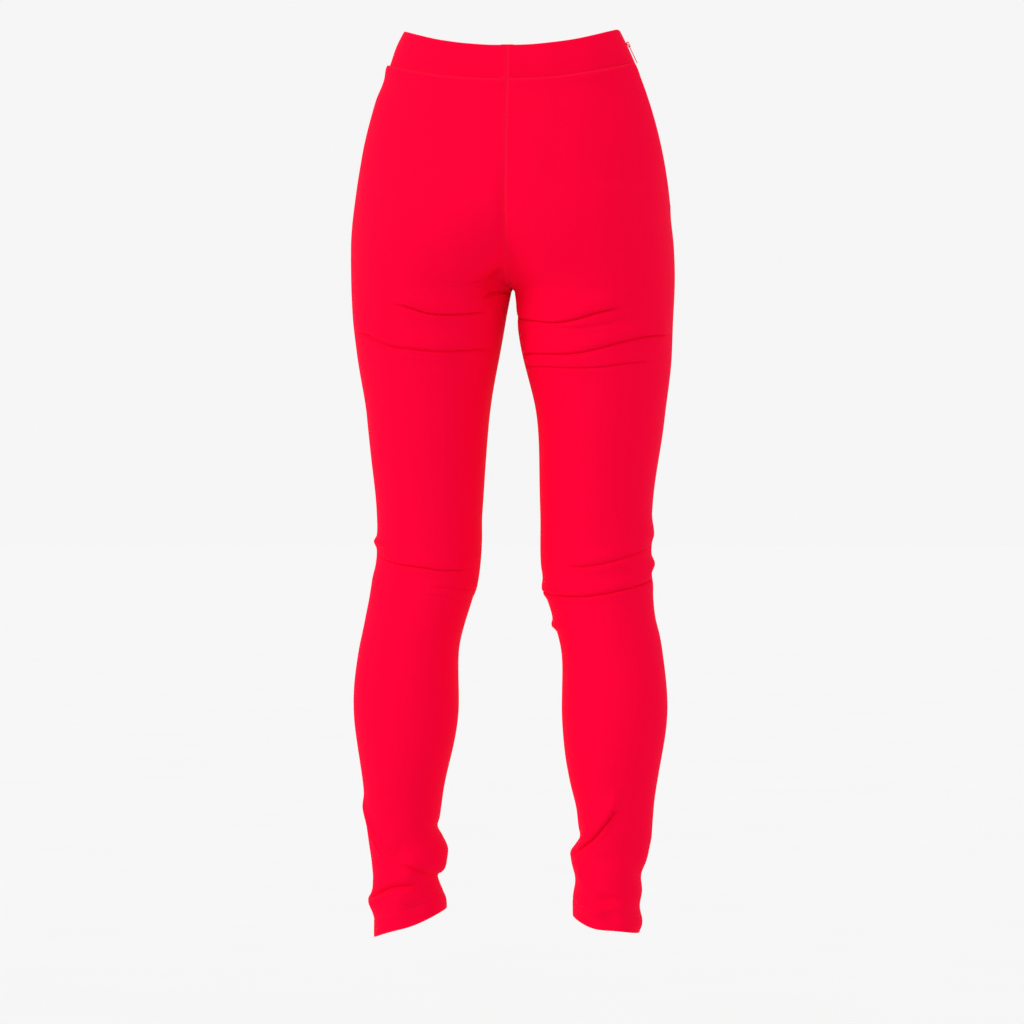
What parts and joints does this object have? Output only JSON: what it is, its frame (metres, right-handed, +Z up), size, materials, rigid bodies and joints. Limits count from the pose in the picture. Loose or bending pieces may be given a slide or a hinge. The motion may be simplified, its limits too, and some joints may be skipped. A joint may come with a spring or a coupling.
{
  "type": "slim trousers",
  "caption": "Slim high-waisted stretch trousers with a contoured waistband, turned-up hems and a concealed zip in the side seam.",
  "frame": {"origin": "middle of the waist opening, level with the waistband's top edge at the side seams", "axes": "+Z up along the wearer, +Y the wearer's front, +X the wearer's right"},
  "size_m": [0.3711, 0.224, 1.051],
  "materials": {
    "cloth": "smooth matte stretch twill",
    "facing_cloth": "wrong side of the same twill",
    "interlining": "matte non-woven",
    "zip_tape": "fine woven tape",
    "zip_coil": "semi-gloss coil",
    "zip_metal": "gloss enamel dyed to match",
    "bare_metal": "nickel plated",
    "label": "blank satin ribbon"
  },
  "bodies": {
    "trousers": {"back_panel_left": "cloth", "back_panel_right": "cloth", "front_panel_left": "cloth", "front_panel_right": "cloth", "waistband_back_left": "cloth", "waistband_back_right": "cloth", "waistband_front": "cloth", "waistband_facing_back_left": "facing_cloth", "waistband_facing_back_right": "facing_cloth", "waistband_facing_front": "facing_cloth", "waistband_interlining_back_left": "interlining", "waistband_interlining_back_right": "interlining", "waistband_interlining_front": "interlining", "zip_tape_back": "zip_tape", "zip_tape_front": "zip_tape", "zip_coil_back": "zip_coil", "zip_coil_front": "zip_coil", "zip_top_stop_back": "bare_metal", "zip_top_stop_front": "bare_metal", "zip_bottom_stop": "bare_metal", "waist_hook": "bare_metal", "waist_eye": "bare_metal", "care_label": "label", "size_label": "label"},
    "slider": {"zip_slider": "zip_metal"},
    "pull": {"zip_pull": "zip_metal"}
  },
  "joints": [
    {"name": "zip_slider_travel", "type": "hinge", "parent": "trousers", "child": "slider", "pos_m": [-0.36128, 0, -0.25], "axis": [0, 1, 0], "range_deg": [0, 18.8]},
    {"name": "zip_pull_swing", "type": "hinge", "parent": "slider", "child": "pull", "pos_m": [0.13524, 0, -0.01662], "axis": [0, -1, 0], "range_deg": [0, 168]}
  ]
}
